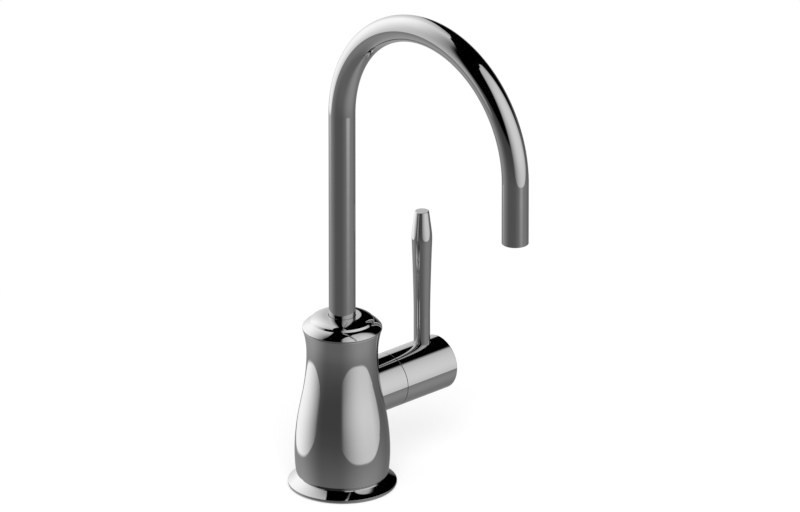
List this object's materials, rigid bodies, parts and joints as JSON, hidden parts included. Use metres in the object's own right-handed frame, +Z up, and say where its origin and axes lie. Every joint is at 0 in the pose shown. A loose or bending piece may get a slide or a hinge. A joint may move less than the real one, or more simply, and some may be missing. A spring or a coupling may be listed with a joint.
{
  "type": "drinking water filter tap",
  "caption": "Deck-mounted filter water tap: bell-shaped chrome body on a round base ring, swivelling gooseneck spout, side valve horn with a slim quarter-turn lever.",
  "frame": {"origin": "on the body's axis, in the underside of the base ring that stands on the worktop", "axes": "+Z up along the body's axis; the spout points along -Y at rest; the valve horn points along +X"},
  "size_m": [0.0888, 0.1489, 0.3088],
  "materials": {
    "chrome": "polished plate",
    "brass": "turned",
    "steel": "zinc plated",
    "rubber": "matt",
    "acetal": "satin",
    "ceramic": "lapped"
  },
  "bodies": {
    "body": {"body_shell": "chrome", "valve_housing": "chrome", "top_cap": "chrome", "base_ring": "chrome", "base_gasket": "rubber", "shank": "brass", "rubber_washer": "rubber", "steel_washer": "steel", "fixing_nut": "brass", "lower_slip_ring": "acetal", "upper_slip_ring": "acetal", "cartridge_body": "brass", "cartridge_o_ring": "rubber", "seat_seal": "rubber", "fixed_disc": "ceramic", "gland_nut": "brass"},
    "spout": {"spout_tube": "chrome", "spout_collar": "brass", "spout_o_rings": "rubber", "stream_straightener": "acetal"},
    "handle": {"handle_hub": "chrome", "lever": "chrome", "grub_screw": "steel", "spindle": "brass", "spindle_o_ring": "rubber", "moving_disc": "ceramic"}
  },
  "joints": [
    {"name": "spout_swivel", "type": "hinge", "parent": "body", "child": "spout", "pos_m": [0, 0, 0.0736], "axis": [0, 0, 1], "continuous": true},
    {"name": "lever_turn", "type": "hinge", "parent": "body", "child": "handle", "pos_m": [0.0522, 0, 0.044], "axis": [1, 0, 0], "range_deg": [0, 90]}
  ]
}
